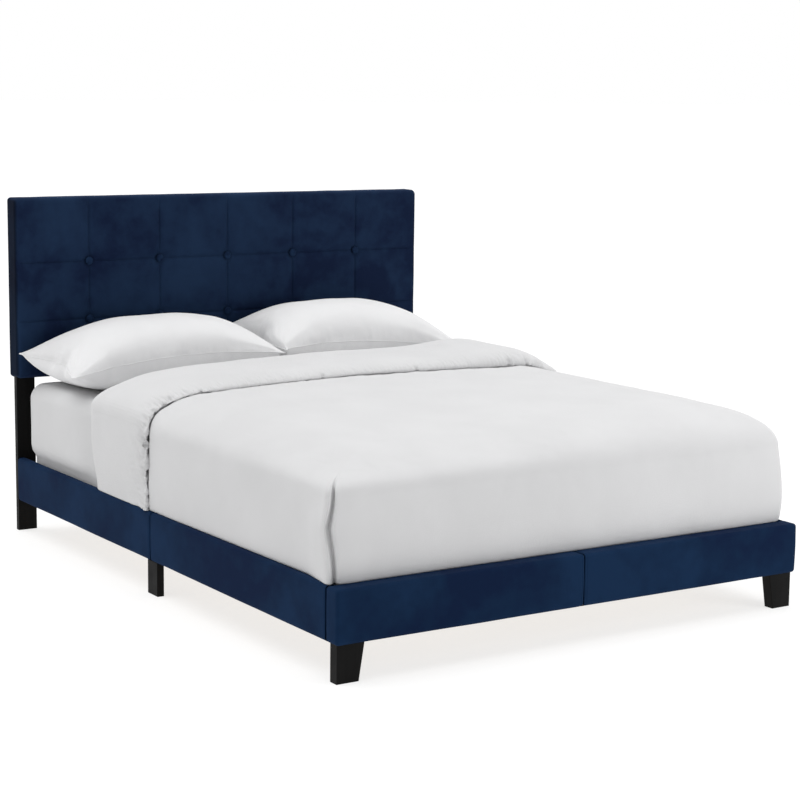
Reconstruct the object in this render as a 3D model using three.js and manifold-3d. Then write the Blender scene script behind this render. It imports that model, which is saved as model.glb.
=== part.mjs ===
// Upholstered platform bed with a button-tufted headboard, built piece by piece.
// Units are millimetres. X runs across the bed, +Y towards the head, +Z up.
// The origin is on the floor under the middle of the footprint.
import * as THREE from 'three';
import { mergeVertices } from 'three/addons/utils/BufferGeometryUtils.js';
import Module from 'manifold-3d';

const wasm = await Module();
wasm.setup();

// ---- driving dimensions ------------------------------------------------------
const GAP = 0.3;                    // clearance left between neighbouring pieces
const FRAME_WIDTH = 1600;           // outside of one side rail to the other
const TOTAL_LENGTH = 2174;          // footboard front to headboard back
const RAIL_TOP = 254;
const RAIL_BOTTOM = 105;
const RAIL_THICKNESS = 30;
const FOOTBOARD_THICKNESS = 58.5;
const FOOTBOARD_BAYS = 6;           // openings in the footboard's timber core
const FOOTBOARD_OPENING = 0.36;     // half an opening's width, as a share of its bay
const FOOTBOARD_RAIL = 0.28;        // core rail height, as a share of the footboard's
const COVER = 4;                    // velvet with its thin wadding
const EDGE_RADIUS = 7;              // rounding of the padded rails

const HEADBOARD_WIDTH = 1608;
const HEADBOARD_TOP = 1142;
const HEADBOARD_BOTTOM = 530;
const HEADBOARD_DEPTH = 80;
const HEADBOARD_RADIUS = 16;        // rounding of the front edges
const HEADBOARD_CORNER = 17;        // rounding of the outline's four corners
const CORNER_STEPS = 4;
const FRONT_WADDING = 12;           // padded front wall of the headboard cover
const FOAM_THICKNESS = 8.7;
const PANEL_THICKNESS = 5.9;
const BACK_PANEL = 3;
const LADDER_RAIL = 62;             // height of the inner frame's top and bottom rails
const LADDER_OPENING = 0.38;        // half an opening's width, as a share of the tuft pitch
const TUFT_COLUMNS = 6;
const TUFT_ROWS_Z = [723, 923];     // heights of the two rows of buttons
const GROOVE_SIDE = 8;
const DIMPLE_RADIUS = 30;
const DIMPLE_DEPTH = 7;
const BUTTON_RADIUS = 12;
const SHANK_RADIUS = 2.2;
const TIE_HOLE_RADIUS = 3;

const HEAD_LEG_WIDTH = 66;
const HEAD_LEG_DEPTH = 23;
const HEAD_LEG_OUTER = 799;
const HEAD_LEG_FRONT = 1034.5;
const HEAD_LEG_DROP = 13;           // the legs stop below the headboard's rounded corners
const FOOT_LEG_OUTER = 792;
const FOOT_LEG_TOP_WIDTH = 84;
const FOOT_LEG_BOTTOM_WIDTH = 67;
const FOOT_LEG_DEPTH = 35;
const FOOT_LEG_INSET = 12;
const MID_LEG_LENGTH = 65;
const MID_LEG_DEPTH = 23;
const MID_LEG_OUTER = 792.5;
const LEG_CHAMFER = 1.5;            // edges of the legs are planed off

const SLAT_COUNT = 11;
const SLAT_WIDTH = 100;
const SLAT_THICKNESS = 20;
const SLAT_PITCH = 190;
const SLAT_TOP = 204;
const LEDGER_WIDTH = 25;
const LEDGER_HEIGHT = 30;
const BEAM_WIDTH = 40;
const BEAM_HEIGHT = 40;
const CROSSBAR_THICKNESS = 22;
const CENTRE_LEG_TOP = 52;
const CENTRE_LEG_BOTTOM = 40;
const CENTRE_LEG_Y = [-620, 0, 620];
const STEEL = 3;
const BRACKET_ARM = 62;
const BRACKET_LIFT = 6;             // a bracket's lower edge above the rails' underside
const HANGER_REACH = 45;
const HANGER_EAR = 28;
const HANGER_DROP = 2;              // a hanger's top edge below the beam's top
const CROSSBAR_LIFT = 4;
const SLAT_END_GAP = 2;

const MATTRESS_WIDTH = 1514;
const MATTRESS_TOP = 510;
const MATTRESS_FOOT = -1012;
const MATTRESS_HEAD = 1003;
const MATTRESS_CORNER = 70;
const MATTRESS_EDGE = 24;
const SHEET = 1.4;
const SHEET_HEM = 226;

const DUVET_THICKNESS = 85;
const DUVET_SKIRT = 27;
const DUVET_OVER_RAIL = 18;         // how far the side falls bulge over the rails
const DUVET_FOOT_SKIRT = 13;
const DUVET_HEAD = 505;
const DUVET_FOLD_START = 75;
const DUVET_FOLD_THICKNESS = 38;
const DUVET_RADIUS = 45;
const FOLD_EDGE = 16;               // rounding of the turned-back fold
const PILLOW_HALF = [370, 220, 110];
const PILLOW_LEAN = 3;              // degrees
const PILLOW_X = { left: -412, right: 338 };
const PILLOW_WALL_GAP = 4;

// ---- positions that follow from the dimensions ---------------------------------
const FOOT_FACE = -TOTAL_LENGTH / 2;
const HEAD_FACE = TOTAL_LENGTH / 2;
const RAIL_OUTER = FRAME_WIDTH / 2;
const RAIL_INNER = RAIL_OUTER - RAIL_THICKNESS;
const RAIL_HEIGHT = RAIL_TOP - RAIL_BOTTOM;
const FOOTBOARD_BACK = FOOT_FACE + FOOTBOARD_THICKNESS;
const RAIL_FOOT_END = FOOTBOARD_BACK + GAP;
const RAIL_HEAD_END = HEAD_LEG_FRONT - GAP;
const RAIL_LENGTH = RAIL_HEAD_END - RAIL_FOOT_END;
const RAIL_MIDDLE = (RAIL_HEAD_END + RAIL_FOOT_END) / 2;
const HEADBOARD_HEIGHT = HEADBOARD_TOP - HEADBOARD_BOTTOM;
const HEADBOARD_FRONT = HEAD_FACE - HEADBOARD_DEPTH;
const HEADBOARD_MIDDLE_Z = (HEADBOARD_TOP + HEADBOARD_BOTTOM) / 2;
const TUFT_PITCH = HEADBOARD_WIDTH / TUFT_COLUMNS;
const HEAD_LEG_BACK = HEAD_LEG_FRONT + HEAD_LEG_DEPTH;
const SLAT_BOTTOM = SLAT_TOP - SLAT_THICKNESS;
const LEDGER_TOP = SLAT_BOTTOM - GAP;
const CROSSBAR_FRONT = HEAD_LEG_FRONT - GAP - CROSSBAR_THICKNESS;
const BEAM_BOTTOM = LEDGER_TOP - BEAM_HEIGHT;
const SHEET_TOP = MATTRESS_TOP + GAP + SHEET;
const BEDDING_BASE = SHEET_TOP + GAP;

// ---- materials -----------------------------------------------------------------
const finish = (color, roughness, metalness = 0) => (
  new THREE.MeshStandardMaterial({ color, roughness, metalness })
);
const velvet = () => finish(0x1b2b45, 0.85);
const buttonVelvet = () => finish(0x16233a, 0.8);
const blackWood = () => finish(0x151414, 0.45);
const paleWood = () => finish(0xc8a878, 0.7);
const plywood = () => finish(0xb9976a, 0.75);
const foam = () => finish(0xe9e2cf, 0.95);
const lining = () => finish(0x1c1c1e, 0.9);
const zincSteel = () => finish(0x8c9094, 0.4, 0.9);
const whiteLinen = () => finish(0xf1f2f4, 0.9);
const mattressTicking = () => finish(0xe4e4e2, 0.9);

// ---- geometry helpers ------------------------------------------------------------
function toSolid(geometry) {
  const bare = geometry.clone();
  bare.deleteAttribute('normal');
  bare.deleteAttribute('uv');
  const welded = mergeVertices(bare, 1e-4);
  return new wasm.Manifold(new wasm.Mesh({
    numProp: 3,
    vertProperties: new Float32Array(welded.attributes.position.array),
    triVerts: new Uint32Array(welded.index.array),
  }));
}

function toGeometry(solid) {
  const mesh = solid.getMesh();
  const geometry = new THREE.BufferGeometry();
  geometry.setAttribute('position', new THREE.BufferAttribute(mesh.vertProperties, 3));
  geometry.setIndex(new THREE.BufferAttribute(mesh.triVerts, 1));
  geometry.computeVertexNormals();
  return geometry;
}

// Cuts every tool geometry out of the body geometry.
function cut(body, tools) {
  let solid = toSolid(body);
  for (const tool of tools) {
    solid = solid.subtract(toSolid(tool));
  }
  return toGeometry(solid);
}

function join(parts) {
  let solid = toSolid(parts[0]);
  for (const part of parts.slice(1)) {
    solid = solid.add(toSolid(part));
  }
  return toGeometry(solid);
}

// A box between two corners, in the coordinates of the bed.
function span(x0, x1, y0, y1, z0, z1) {
  const box = new THREE.BoxGeometry(x1 - x0, y1 - y0, z1 - z0);
  box.translate((x0 + x1) / 2, (y0 + y1) / 2, (z0 + z1) / 2);
  return box;
}

function roundedOutline(width, height, radius) {
  const x = width / 2;
  const y = height / 2;
  const outline = new THREE.Shape();
  outline.moveTo(-x + radius, -y);
  outline.lineTo(x - radius, -y);
  outline.absarc(x - radius, -y + radius, radius, -Math.PI / 2, 0, false);
  outline.lineTo(x, y - radius);
  outline.absarc(x - radius, y - radius, radius, 0, Math.PI / 2, false);
  outline.lineTo(-x + radius, y);
  outline.absarc(-x + radius, y - radius, radius, Math.PI / 2, Math.PI, false);
  outline.lineTo(-x, -y + radius);
  outline.absarc(-x + radius, -y + radius, radius, Math.PI, Math.PI * 1.5, false);
  return outline;
}

// A slab with rounded corners and softened faces, centred on the origin.
function softSlab(width, height, depth, corner, edge, curveSegments) {
  const outline = roundedOutline(width - 2 * edge, height - 2 * edge, corner - edge);
  const slab = new THREE.ExtrudeGeometry(outline, {
    depth: depth - 2 * edge,
    bevelEnabled: true,
    bevelThickness: edge,
    bevelSize: edge,
    bevelSegments: 3,
    curveSegments,
  });
  slab.translate(0, 0, edge - depth / 2);
  return slab;
}

// A leg cut from a plank: a flat outline with its long edges planed off.
function planedPlank(corners, thickness) {
  const outline = new THREE.Shape(corners.map(([x, y]) => new THREE.Vector2(x, y)));
  const plank = new THREE.ExtrudeGeometry(outline, {
    depth: thickness - 2 * LEG_CHAMFER,
    bevelEnabled: true,
    bevelThickness: LEG_CHAMFER,
    bevelSize: LEG_CHAMFER,
    bevelOffset: -LEG_CHAMFER,
    bevelSegments: 2,
  });
  plank.translate(0, 0, LEG_CHAMFER);
  return plank;
}

function piece(name, geometry, material, group) {
  geometry.computeBoundingBox();
  const centre = geometry.boundingBox.getCenter(new THREE.Vector3());
  geometry.translate(-centre.x, -centre.y, -centre.z);
  const mesh = new THREE.Mesh(geometry, material);
  mesh.name = name;
  mesh.position.copy(centre);
  group.add(mesh);
  return mesh;
}

function newGroup(name, parent) {
  const group = new THREE.Group();
  group.name = name;
  parent.add(group);
  return group;
}

const SIDES = [['left', -1], ['right', 1]];

// Orders a mirrored pair of limits so the smaller one comes first.
function mirrored(side, near, far) {
  return side < 0 ? [-far, -near] : [near, far];
}

// ---- headboard --------------------------------------------------------------------
function tuftPoints() {
  const points = [];
  for (const z of TUFT_ROWS_Z) {
    for (let column = 1; column < TUFT_COLUMNS; column += 1) {
      points.push([(column - TUFT_COLUMNS / 2) * TUFT_PITCH, z]);
    }
  }
  return points;
}

// A round tool lying along Y, used for holes, dimples and ties.
function yCylinder(frontRadius, backRadius, y0, y1, x, z) {
  const tool = new THREE.CylinderGeometry(backRadius, frontRadius, y1 - y0, 16);
  tool.translate(x, (y0 + y1) / 2, z);
  return tool;
}

function tieHoles(y0, y1) {
  return tuftPoints().map(([x, z]) => (
    yCylinder(TIE_HOLE_RADIUS, TIE_HOLE_RADIUS, y0, y1, x, z)
  ));
}

function seamGrooves() {
  const grooves = [];
  for (const z of TUFT_ROWS_Z) {
    const bar = new THREE.BoxGeometry(HEADBOARD_WIDTH, GROOVE_SIDE, GROOVE_SIDE);
    bar.rotateX(Math.PI / 4);
    bar.translate(0, HEADBOARD_FRONT, z);
    grooves.push(bar);
  }
  for (let column = 1; column < TUFT_COLUMNS; column += 1) {
    const bar = new THREE.BoxGeometry(GROOVE_SIDE, GROOVE_SIDE, HEADBOARD_HEIGHT);
    bar.rotateZ(Math.PI / 4);
    bar.translate((column - TUFT_COLUMNS / 2) * TUFT_PITCH, HEADBOARD_FRONT, HEADBOARD_MIDDLE_Z);
    grooves.push(bar);
  }
  return grooves;
}

function headLegSlot(side) {
  const inner = HEAD_LEG_OUTER - HEAD_LEG_WIDTH - GAP;
  const [x0, x1] = mirrored(side, inner, HEAD_LEG_OUTER + GAP);
  const below = HEADBOARD_BOTTOM - COVER;
  const above = HEADBOARD_BOTTOM + HEADBOARD_CORNER;
  return span(x0, x1, HEAD_LEG_FRONT - GAP, HEAD_LEG_BACK + GAP, below, above);
}

// A panel across the bed between two depths, with the headboard's outline inset all round.
function standingPanel(inset, y0, y1) {
  const outline = roundedOutline(
    HEADBOARD_WIDTH - 2 * inset, HEADBOARD_HEIGHT - 2 * inset, HEADBOARD_CORNER - inset,
  );
  const panel = new THREE.ExtrudeGeometry(outline, {
    depth: y1 - y0, bevelEnabled: false, curveSegments: CORNER_STEPS,
  });
  panel.rotateX(Math.PI / 2);
  panel.translate(0, y1, HEADBOARD_MIDDLE_Z);
  return panel;
}

function headboardCover() {
  const fullDepth = HEADBOARD_DEPTH + HEADBOARD_RADIUS;
  const shell = softSlab(
    HEADBOARD_WIDTH, HEADBOARD_HEIGHT, fullDepth, HEADBOARD_CORNER, HEADBOARD_RADIUS,
    CORNER_STEPS,
  );
  shell.rotateX(Math.PI / 2);
  shell.translate(0, HEADBOARD_FRONT + fullDepth / 2, HEADBOARD_MIDDLE_Z);
  const behind = span(
    -FRAME_WIDTH, FRAME_WIDTH, HEAD_FACE, HEAD_FACE + fullDepth, 0, 2 * HEADBOARD_TOP,
  );
  const cavity = standingPanel(COVER, HEADBOARD_FRONT + FRONT_WADDING, HEAD_FACE + COVER);
  const dimples = tuftPoints().map(([x, z]) => yCylinder(
    DIMPLE_RADIUS, BUTTON_RADIUS, HEADBOARD_FRONT - 0.01, HEADBOARD_FRONT + DIMPLE_DEPTH, x, z,
  ));
  const holes = tieHoles(HEADBOARD_FRONT, HEADBOARD_FRONT + FRONT_WADDING + COVER);
  const slots = SIDES.map(([, side]) => headLegSlot(side));
  return cut(shell, [behind, cavity, ...seamGrooves(), ...dimples, ...holes, ...slots]);
}

function headboardInsert(y0, y1) {
  return standingPanel(COVER + GAP, y0, y1);
}

// Softwood ladder frame; the legs are let into its front at both ends.
function headboardFrame() {
  const blank = headboardInsert(HEAD_LEG_FRONT, HEAD_FACE - BACK_PANEL - 2 * GAP);
  const tools = [];
  for (let column = 1; column < TUFT_COLUMNS; column += 1) {
    const x = (column - TUFT_COLUMNS / 2) * TUFT_PITCH;
    const half = TUFT_PITCH * LADDER_OPENING;
    tools.push(span(
      x - half, x + half, HEAD_LEG_FRONT - 1, HEAD_FACE,
      HEADBOARD_BOTTOM + LADDER_RAIL, HEADBOARD_TOP - LADDER_RAIL,
    ));
  }
  for (const [, side] of SIDES) {
    const inner = HEAD_LEG_OUTER - HEAD_LEG_WIDTH - GAP;
    const [x0, x1] = mirrored(side, inner, HEADBOARD_WIDTH);
    tools.push(span(x0, x1, HEAD_LEG_FRONT - 1, HEAD_LEG_BACK + GAP, 0, HEADBOARD_TOP));
  }
  return cut(blank, tools);
}

// Fabric-covered button with its tie stem, turned about its own axis.
function tuftButton() {
  const front = -1;
  const back = DIMPLE_DEPTH - GAP;
  const stemEnd = HEAD_LEG_FRONT - HEADBOARD_FRONT + 3;
  const profile = [
    [0, front],
    [BUTTON_RADIUS * 0.45, front + 0.4],
    [BUTTON_RADIUS * 0.8, front + 1.6],
    [BUTTON_RADIUS * 0.97, front + 3.4],
    [BUTTON_RADIUS * 0.9, back],
    [SHANK_RADIUS, back],
    [SHANK_RADIUS, stemEnd],
    [0, stemEnd],
  ].map(([radius, along]) => new THREE.Vector2(radius, along));
  return new THREE.LatheGeometry(profile, 18);
}

function addHeadboard(bed) {
  const group = newGroup('headboard', bed);
  const foamFront = HEADBOARD_FRONT + FRONT_WADDING + GAP;
  const panelFront = HEAD_LEG_FRONT - GAP - PANEL_THICKNESS;
  piece('headboard_cover', headboardCover(), velvet(), group);
  const slab = headboardInsert(foamFront, foamFront + FOAM_THICKNESS);
  const foamHoles = tieHoles(foamFront - 1, foamFront + FOAM_THICKNESS + 1);
  piece('headboard_foam', cut(slab, foamHoles), foam(), group);
  const board = headboardInsert(panelFront, panelFront + PANEL_THICKNESS);
  const boardHoles = tieHoles(panelFront - 1, panelFront + PANEL_THICKNESS + 1);
  piece('headboard_panel', cut(board, boardHoles), plywood(), group);
  piece('headboard_frame', headboardFrame(), paleWood(), group);
  const lid = headboardInsert(HEAD_FACE - BACK_PANEL - GAP, HEAD_FACE - GAP);
  piece('headboard_back', lid, lining(), group);
  tuftPoints().forEach(([x, z], index) => {
    const button = new THREE.Mesh(tuftButton(), buttonVelvet());
    button.name = `tuft_button_${index + 1}`;
    button.position.set(x, HEADBOARD_FRONT, z);
    group.add(button);
  });
  for (const [name, side] of SIDES) {
    const [x0, x1] = mirrored(side, HEAD_LEG_OUTER - HEAD_LEG_WIDTH, HEAD_LEG_OUTER);
    const top = HEADBOARD_TOP - HEAD_LEG_DROP;
    const leg = planedPlank([[x0, 0], [x1, 0], [x1, top], [x0, top]], HEAD_LEG_DEPTH);
    leg.rotateX(Math.PI / 2);
    leg.translate(0, HEAD_LEG_BACK, 0);
    piece(`leg_head_${name}`, leg, blackWood(), group);
  }
}

// ---- side rails and footboard -------------------------------------------------------
// Velvet sleeve round one half of a side rail; open at both ends.
function railSleeve(side, y0, y1) {
  const length = y1 - y0;
  const outline = roundedOutline(RAIL_THICKNESS, RAIL_HEIGHT, EDGE_RADIUS);
  const bar = new THREE.ExtrudeGeometry(outline, {
    depth: length, bevelEnabled: false, curveSegments: 4,
  });
  bar.rotateX(Math.PI / 2);
  bar.translate(
    side * (RAIL_OUTER - RAIL_THICKNESS / 2), y1, RAIL_BOTTOM + RAIL_HEIGHT / 2,
  );
  const [x0, x1] = mirrored(side, RAIL_INNER + COVER, RAIL_OUTER - COVER);
  const inside = span(x0, x1, y0 - 1, y1 + 1, RAIL_BOTTOM + COVER, RAIL_TOP - COVER);
  return cut(bar, [inside]);
}

// Velvet pocket over one half of the footboard; open at the middle seam only.
function footboardPocket(side) {
  const edge = EDGE_RADIUS;
  const blank = softSlab(FRAME_WIDTH, RAIL_HEIGHT, FOOTBOARD_THICKNESS, edge + 1, edge, 4);
  blank.rotateX(Math.PI / 2);
  blank.translate(0, FOOT_FACE + FOOTBOARD_THICKNESS / 2, RAIL_BOTTOM + RAIL_HEIGHT / 2);
  const inside = span(
    -RAIL_OUTER + COVER, RAIL_OUTER - COVER, FOOT_FACE + COVER, FOOTBOARD_BACK - COVER,
    RAIL_BOTTOM + COVER, RAIL_TOP - COVER,
  );
  const [x0, x1] = side < 0 ? [-GAP / 2, FRAME_WIDTH] : [-FRAME_WIDTH, GAP / 2];
  const otherHalf = span(x0, x1, FOOT_FACE - 1, FOOTBOARD_BACK + 1, 0, HEADBOARD_TOP);
  return cut(blank, [inside, otherHalf]);
}

function footboardCore() {
  const skin = COVER + GAP;
  const blank = span(
    -RAIL_OUTER + skin, RAIL_OUTER - skin, FOOT_FACE + skin, FOOTBOARD_BACK - skin,
    RAIL_BOTTOM + skin, RAIL_TOP - skin,
  );
  const pitch = FRAME_WIDTH / FOOTBOARD_BAYS;
  const rail = RAIL_HEIGHT * FOOTBOARD_RAIL;
  const tools = [];
  for (let bay = 0; bay < FOOTBOARD_BAYS; bay += 1) {
    const x = (bay + 0.5) * pitch - RAIL_OUTER;
    const half = pitch * FOOTBOARD_OPENING;
    tools.push(span(
      x - half, x + half, FOOT_FACE - 1, FOOTBOARD_BACK + 1,
      RAIL_BOTTOM + rail, RAIL_TOP - rail,
    ));
  }
  return cut(blank, tools);
}

// Leg that is straight outside and tapers on the side facing the bed's middle.
function footLeg(side) {
  const height = RAIL_BOTTOM - GAP;
  const outer = side * FOOT_LEG_OUTER;
  const leg = planedPlank([
    [outer, 0],
    [outer, height],
    [outer - side * FOOT_LEG_TOP_WIDTH, height],
    [outer - side * FOOT_LEG_BOTTOM_WIDTH, 0],
  ], FOOT_LEG_DEPTH);
  leg.rotateX(Math.PI / 2);
  leg.translate(0, FOOT_FACE + FOOT_LEG_INSET + FOOT_LEG_DEPTH, 0);
  return leg;
}

function addFootboard(bed) {
  const group = newGroup('footboard', bed);
  piece('footboard_core', footboardCore(), paleWood(), group);
  for (const [name, side] of SIDES) {
    piece(`footboard_cover_${name}`, footboardPocket(side), velvet(), group);
    piece(`leg_foot_${name}`, footLeg(side), blackWood(), group);
  }
}

// Plank leg standing under the middle of a side rail, flat along the rail.
function midLeg(side) {
  const half = MID_LEG_LENGTH / 2;
  const height = RAIL_BOTTOM - GAP;
  const leg = planedPlank([[-half, 0], [half, 0], [half, height], [-half, height]], MID_LEG_DEPTH);
  leg.rotateX(Math.PI / 2);
  leg.rotateZ(Math.PI / 2);
  const near = side < 0 ? -MID_LEG_OUTER : MID_LEG_OUTER - MID_LEG_DEPTH;
  leg.translate(near, RAIL_MIDDLE, 0);
  return leg;
}

function addSideRail(name, side, bed) {
  const group = newGroup(`side_rail_${name}`, bed);
  const skin = COVER + GAP;
  const [x0, x1] = mirrored(side, RAIL_INNER + skin, RAIL_OUTER - skin);
  const board = span(
    x0, x1, RAIL_FOOT_END, RAIL_HEAD_END, RAIL_BOTTOM + skin, RAIL_TOP - skin,
  );
  piece(`rail_${name}_board`, board, paleWood(), group);
  const foot = railSleeve(side, RAIL_FOOT_END, RAIL_MIDDLE - GAP / 2);
  piece(`rail_${name}_cover_foot`, foot, velvet(), group);
  const head = railSleeve(side, RAIL_MIDDLE + GAP / 2, RAIL_HEAD_END);
  piece(`rail_${name}_cover_head`, head, velvet(), group);
  piece(`leg_mid_${name}`, midLeg(side), blackWood(), group);
  const [s0, s1] = mirrored(side, RAIL_INNER - GAP - LEDGER_WIDTH, RAIL_INNER - GAP);
  const ledger = span(
    s0, s1, RAIL_FOOT_END, CROSSBAR_FRONT - GAP, LEDGER_TOP - LEDGER_HEIGHT, LEDGER_TOP,
  );
  piece(`ledger_${name}`, ledger, paleWood(), group);
}

// ---- slat base ------------------------------------------------------------------------
// Steel angle in the corner between a rail and a cross piece at y; facing is +1 for
// the foot end, where the corner opens towards the head.
function cornerBracket(side, y, facing) {
  const arm = BRACKET_ARM;
  const z0 = RAIL_BOTTOM + BRACKET_LIFT;
  const z1 = LEDGER_TOP - LEDGER_HEIGHT - GAP;
  const wall = RAIL_INNER - GAP;
  const [x0, x1] = mirrored(side, wall - STEEL, wall);
  const [a0, a1] = mirrored(side, wall - arm, wall);
  const near = y + facing * GAP;
  const far = y + facing * (GAP + arm);
  const plate = y + facing * (GAP + STEEL);
  const along = span(x0, x1, Math.min(near, far), Math.max(near, far), z0, z1);
  const across = span(a0, a1, Math.min(near, plate), Math.max(near, plate), z0, z1);
  return join([along, across]);
}

// Steel stirrup that carries one end of the centre beam.
function beamHanger(y, facing) {
  const inner = BEAM_WIDTH / 2 + GAP;
  const outer = inner + STEEL;
  const bottom = BEAM_BOTTOM - GAP - STEEL;
  const near = y + facing * GAP;
  const far = y + facing * (GAP + HANGER_REACH);
  const plate = y + facing * (GAP + STEEL);
  const lo = Math.min(near, far);
  const hi = Math.max(near, far);
  const top = LEDGER_TOP - HANGER_DROP;
  const wide = outer + HANGER_EAR;
  const channel = span(-outer, outer, lo, hi, bottom, top);
  const ears = span(-wide, wide, Math.min(near, plate), Math.max(near, plate), bottom, top);
  const beamSpace = span(-inner, inner, lo - 1, hi + 1, BEAM_BOTTOM - GAP, LEDGER_TOP + 1);
  return cut(join([channel, ears]), [beamSpace]);
}

function centreLeg(y) {
  const height = BEAM_BOTTOM - GAP;
  const corner = Math.SQRT1_2;
  const leg = new THREE.CylinderGeometry(
    CENTRE_LEG_TOP * corner, CENTRE_LEG_BOTTOM * corner, height, 4,
  );
  leg.rotateY(Math.PI / 4);
  leg.rotateX(Math.PI / 2);
  leg.translate(0, y, height / 2);
  return leg;
}

function addSlatBase(bed) {
  const group = newGroup('slat_base', bed);
  const beam = span(
    -BEAM_WIDTH / 2, BEAM_WIDTH / 2, RAIL_FOOT_END, CROSSBAR_FRONT - GAP,
    BEAM_BOTTOM, LEDGER_TOP,
  );
  piece('centre_beam', beam, paleWood(), group);
  const wall = RAIL_INNER - GAP;
  const crossbar = span(
    -wall, wall, CROSSBAR_FRONT, HEAD_LEG_FRONT - GAP, RAIL_BOTTOM + CROSSBAR_LIFT,
    SLAT_BOTTOM,
  );
  piece('head_crossbar', crossbar, blackWood(), group);
  CENTRE_LEG_Y.forEach((y, index) => {
    piece(`centre_leg_${index + 1}`, centreLeg(y), blackWood(), group);
  });
  piece('beam_hanger_foot', beamHanger(FOOTBOARD_BACK, 1), zincSteel(), group);
  piece('beam_hanger_head', beamHanger(CROSSBAR_FRONT, -1), zincSteel(), group);
  for (const [name, side] of SIDES) {
    const foot = cornerBracket(side, FOOTBOARD_BACK, 1);
    piece(`bracket_foot_${name}`, foot, zincSteel(), group);
    const head = cornerBracket(side, CROSSBAR_FRONT, -1);
    piece(`bracket_head_${name}`, head, zincSteel(), group);
  }
  const reach = RAIL_INNER - SLAT_END_GAP;
  for (let index = 0; index < SLAT_COUNT; index += 1) {
    const y = (index - (SLAT_COUNT - 1) / 2) * SLAT_PITCH;
    const slat = span(
      -reach, reach, y - SLAT_WIDTH / 2, y + SLAT_WIDTH / 2, SLAT_BOTTOM, SLAT_TOP,
    );
    piece(`slat_${index + 1}`, slat, paleWood(), group);
  }
}

// ---- bedding ---------------------------------------------------------------------------
function mattressForm(grow) {
  const length = MATTRESS_HEAD - MATTRESS_FOOT + 2 * grow;
  const bottom = SLAT_TOP + GAP;
  const depth = MATTRESS_TOP - bottom + 2 * grow;
  const form = softSlab(
    MATTRESS_WIDTH + 2 * grow, length, depth, MATTRESS_CORNER + grow, MATTRESS_EDGE + grow, 5,
  );
  form.translate(0, (MATTRESS_HEAD + MATTRESS_FOOT) / 2, (MATTRESS_TOP + bottom) / 2);
  return form;
}

function fittedSheet() {
  const below = span(
    -FRAME_WIDTH, FRAME_WIDTH, -TOTAL_LENGTH, TOTAL_LENGTH, 0, SHEET_HEM,
  );
  return cut(mattressForm(GAP + SHEET), [mattressForm(GAP), below]);
}

// Duvet as one soft solid: a top, two side falls, a foot fall and the turned-back fold.
function duvet() {
  const top = BEDDING_BASE + DUVET_THICKNESS;
  const bottom = RAIL_TOP + GAP;
  const half = RAIL_INNER + DUVET_OVER_RAIL;
  const foot = FOOTBOARD_BACK + GAP;
  const deep = top - bottom + DUVET_RADIUS;
  const body = softSlab(2 * half, DUVET_HEAD - foot, deep, MATTRESS_CORNER, DUVET_RADIUS, 5);
  body.translate(0, (DUVET_HEAD + foot) / 2, top - deep / 2);
  const below = span(-FRAME_WIDTH, FRAME_WIDTH, -TOTAL_LENGTH, TOTAL_LENGTH, 0, bottom);
  const fold = softSlab(
    2 * half - 2 * DUVET_RADIUS, DUVET_HEAD - DUVET_FOLD_START,
    DUVET_FOLD_THICKNESS + DUVET_THICKNESS / 2, DUVET_RADIUS, FOLD_EDGE, 4,
  );
  fold.translate(
    0, (DUVET_HEAD + DUVET_FOLD_START) / 2,
    top + DUVET_FOLD_THICKNESS / 2 - DUVET_THICKNESS / 4,
  );
  const inner = half - DUVET_SKIRT;
  const mattressSpace = span(
    -inner, inner, foot + DUVET_FOOT_SKIRT, DUVET_HEAD + 1, 0, BEDDING_BASE,
  );
  return cut(join([body, fold]), [below, mattressSpace]);
}

function addPillow(name, group) {
  const form = new THREE.SphereGeometry(1, 24, 16);
  form.scale(...PILLOW_HALF);
  const lean = THREE.MathUtils.degToRad(PILLOW_LEAN);
  const [, depth, thick] = PILLOW_HALF;
  const rise = Math.hypot(depth * Math.sin(lean), thick * Math.cos(lean));
  const reach = Math.hypot(depth * Math.cos(lean), thick * Math.sin(lean));
  const pillow = new THREE.Mesh(form, whiteLinen());
  pillow.name = `pillow_${name}`;
  pillow.rotation.x = lean;
  pillow.position.set(
    PILLOW_X[name], HEADBOARD_FRONT - reach - PILLOW_WALL_GAP, BEDDING_BASE + rise + GAP,
  );
  group.add(pillow);
}

function addBedding(bed) {
  const group = newGroup('bedding', bed);
  piece('mattress', mattressForm(0), mattressTicking(), group);
  piece('fitted_sheet', fittedSheet(), whiteLinen(), group);
  piece('duvet', duvet(), whiteLinen(), group);
  for (const [name] of SIDES) {
    addPillow(name, group);
  }
}

const bed = new THREE.Group();
bed.name = 'upholstered_bed';
addHeadboard(bed);
addFootboard(bed);
for (const [name, side] of SIDES) {
  addSideRail(name, side, bed);
}
addSlatBase(bed);
addBedding(bed);

export default bed;
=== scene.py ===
"""The look of an upholstered bed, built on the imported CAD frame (metres, +Z up, +Y to the head)."""
import math

import bpy
import numpy as np
from mathutils import Matrix, Vector, noise


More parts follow.
